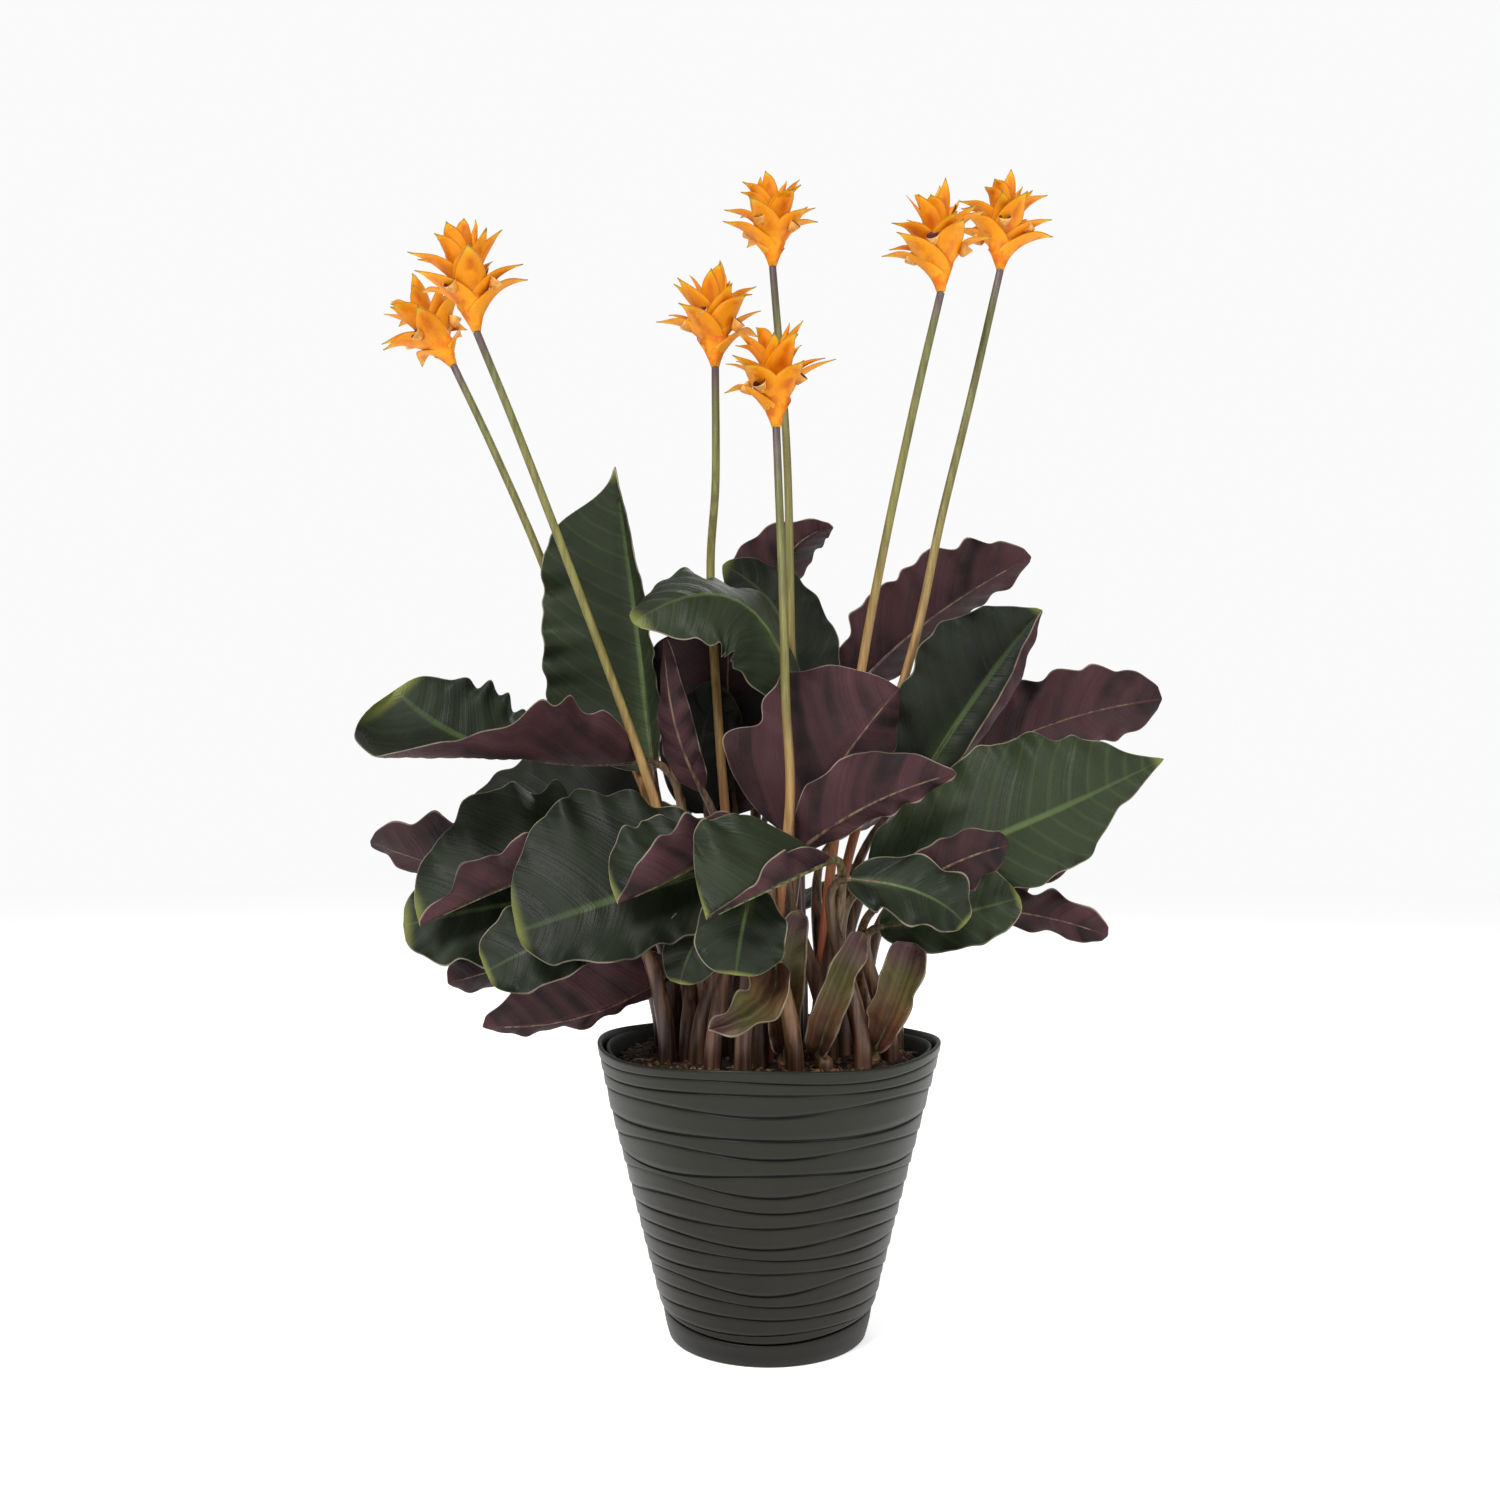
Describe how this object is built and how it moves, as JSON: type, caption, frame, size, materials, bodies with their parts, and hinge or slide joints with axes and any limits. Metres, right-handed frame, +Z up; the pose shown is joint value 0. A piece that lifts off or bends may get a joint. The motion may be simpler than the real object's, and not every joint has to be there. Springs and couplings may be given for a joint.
{
  "type": "potted calathea plant",
  "caption": "Flowering calathea in its pot: broad wavy dark green leaves with maroon undersides, orange bract heads on tall stems, soil, nursery liner, layered plastic pot and clip-on saucer",
  "frame": {"origin": "centre of the saucer's flat underside, on the pot's axis", "axes": "+Z up along the pot's axis, -Y towards the viewer, +X to the viewer's right"},
  "size_m": [0.4119, 0.2611, 0.5889],
  "materials": {
    "pot_plastic": "dark grey-green satin plastic with wavy layered relief lines",
    "liner_plastic": "thin black nursery pot plastic",
    "potting_soil": "damp brown peat with bark chips and coir fibres",
    "leaf": "satin dark green upper side with paler veins and edge, maroon to mauve underside",
    "flower_stem": "smooth olive green stem turning orange brown and red towards the soil",
    "flower_bract": "waxy bright orange bracts, yellower at the base, with greenish tips"
  },
  "bodies": {
    "root": {"drip_saucer": "pot_plastic", "head_left_back": "flower_bract", "head_left_front": "flower_bract", "head_middle_left": "flower_bract", "head_middle_low": "flower_bract", "head_right_front": "flower_bract", "head_right_tall": "flower_bract", "head_top": "flower_bract", "inner_pot": "liner_plastic", "leaf_back_left": "leaf", "leaf_back_low_left": "leaf", "leaf_back_low_right": "leaf", "leaf_back_mid": "leaf", "leaf_back_right": "leaf", "leaf_back_tip": "leaf", "leaf_centre_purple": "leaf", "leaf_centre_right": "leaf", "leaf_front_centre": "leaf", "leaf_front_fold": "leaf", "leaf_front_left_big": "leaf", "leaf_front_low_a": "leaf", "leaf_front_low_b": "leaf", "leaf_front_mauve": "leaf", "leaf_front_yellow": "leaf", "leaf_inner_curl": "leaf", "leaf_inner_dark": "leaf", "leaf_inner_low": "leaf", "leaf_left_back": "leaf", "leaf_left_boat": "leaf", "leaf_left_dart": "leaf", "leaf_left_fold": "leaf", "leaf_left_low": "leaf", "leaf_left_low_small": "leaf", "leaf_left_tall": "leaf", "leaf_low_left_tip": "leaf", "leaf_low_purple": "leaf", "leaf_mid_sheath": "leaf", "leaf_right_arm": "leaf", "leaf_right_back": "leaf", "leaf_right_big": "leaf", "leaf_right_low_green": "leaf", "leaf_right_low_purple": "leaf", "leaf_right_low_ruffle": "leaf", "leaf_right_low_sliver": "leaf", "leaf_right_mid_fold": "leaf", "leaf_right_sheath": "leaf", "leaf_right_upper": "leaf", "leaf_top_arch": "leaf", "leaf_top_back": "leaf", "outer_pot": "pot_plastic", "soil": "potting_soil", "stem_left_back": "flower_stem", "stem_left_front": "flower_stem", "stem_middle_left": "flower_stem", "stem_middle_low": "flower_stem", "stem_right_front": "flower_stem", "stem_right_tall": "flower_stem", "stem_top": "flower_stem"}
  },
  "joints": []
}
